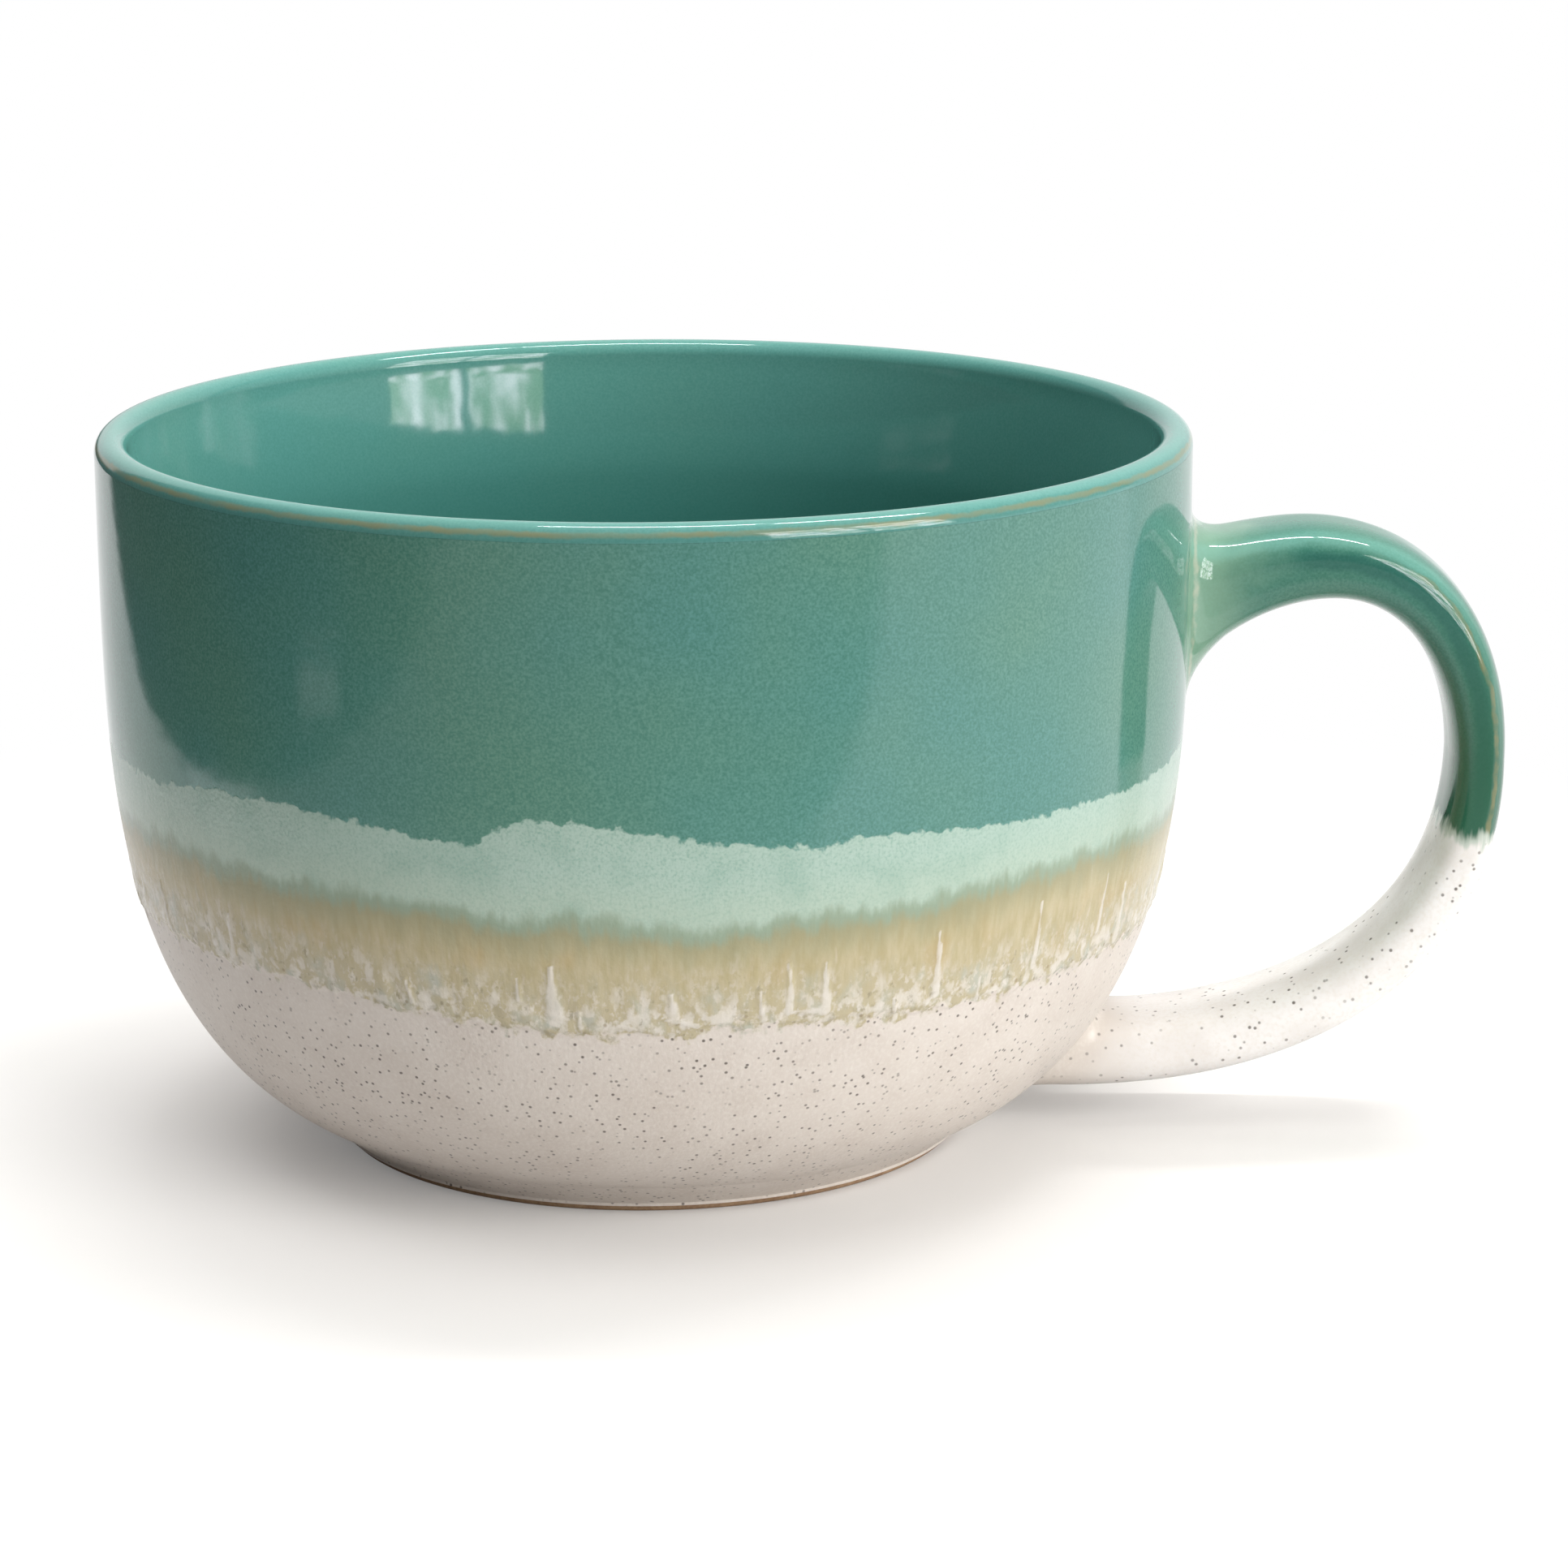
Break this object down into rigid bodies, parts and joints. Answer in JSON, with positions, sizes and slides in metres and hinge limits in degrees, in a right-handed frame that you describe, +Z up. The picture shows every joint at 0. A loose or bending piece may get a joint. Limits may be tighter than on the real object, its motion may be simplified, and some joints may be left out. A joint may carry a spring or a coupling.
{
  "type": "soup mug",
  "caption": "Wide glazed stoneware soup mug on a turned foot ring, with an ear handle and bands of teal, mint, amber and cream reactive glaze.",
  "frame": {"origin": "on the table, at the middle of the foot ring", "axes": "+Z up, +X towards the handle, +Y away from the viewer when the handle is on the right"},
  "size_m": [0.1681, 0.13, 0.086],
  "materials": {
    "stoneware": "bare fired stoneware, matt",
    "slip": "fired slip, matt",
    "liner_glaze": "glossy teal liner glaze",
    "teal_glaze": "glossy teal reactive glaze",
    "mint_glaze": "glossy pale mint glaze",
    "amber_glaze": "glossy honey amber glaze with runs",
    "cream_glaze": "satin cream glaze with iron specks"
  },
  "bodies": {
    "root": {"bowl": "stoneware", "handle": "stoneware", "upper_slip_joint": "slip", "lower_slip_joint": "slip", "liner_glaze": "liner_glaze", "green_glaze": "teal_glaze", "mint_glaze": "mint_glaze", "amber_glaze": "amber_glaze", "cream_glaze": "cream_glaze", "base_glaze": "cream_glaze", "handle_green_glaze": "teal_glaze", "handle_cream_glaze": "cream_glaze"}
  },
  "joints": []
}
